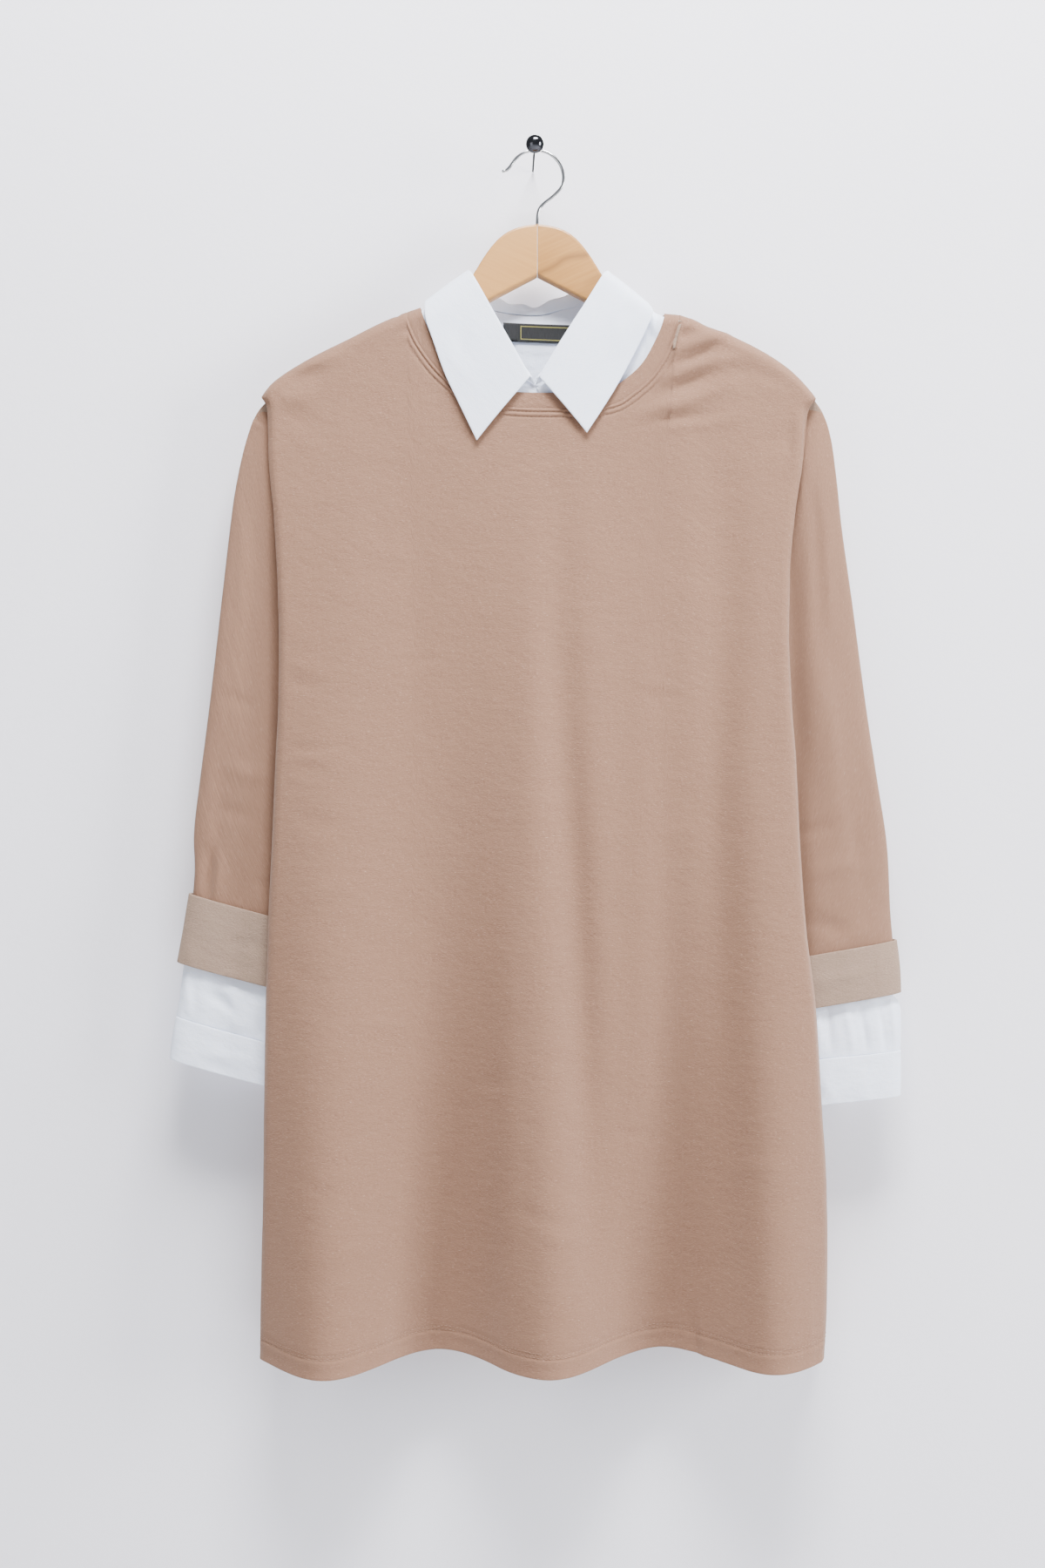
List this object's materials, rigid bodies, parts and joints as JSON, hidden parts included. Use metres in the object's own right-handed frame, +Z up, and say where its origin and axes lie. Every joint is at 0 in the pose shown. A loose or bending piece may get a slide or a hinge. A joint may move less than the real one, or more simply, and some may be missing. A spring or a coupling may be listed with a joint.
{
  "type": "tunic sweatshirt with a mock shirt collar and cuffs on a wooden hanger",
  "caption": "Long knitted sweatshirt with a white shirt collar and pleated white cuffs sewn in, hanging flat on a wooden hanger from a ball-headed wall pin.",
  "frame": {"origin": "where the axis of the pin enters the wall, in the plane of the wall", "axes": "+Z up along the hanging garment, +Y into the wall behind it, +X to the right of someone who faces the wall"},
  "size_m": [0.608, 0.0907, 1.0129],
  "materials": {
    "knit": "brushed knit, pinkish beige melange",
    "knit_reverse": "looped reverse of the knit, greyer",
    "poplin": "matt white woven shirt cloth",
    "label": "black woven satin tape",
    "beech": "satin lacquered",
    "chrome": "polished"
  },
  "bodies": {
    "root": {"front": "knit", "back": "knit", "sleeve_left": "knit", "sleeve_right": "knit", "neckband": "knit", "turnup_left": "knit_reverse", "turnup_right": "knit_reverse", "collar_leaf": "poplin", "collar_stand": "poplin", "inset_front_left": "poplin", "inset_front_right": "poplin", "inset_back": "poplin", "shirt_sleeve_left": "poplin", "shirt_sleeve_right": "poplin", "shirt_cuff_left": "poplin", "shirt_cuff_right": "poplin", "woven_label": "label", "size_tab": "label", "hanger_arm_left": "beech", "hanger_arm_right": "beech", "hanger_hook": "chrome", "wall_pin": "chrome"}
  },
  "joints": []
}
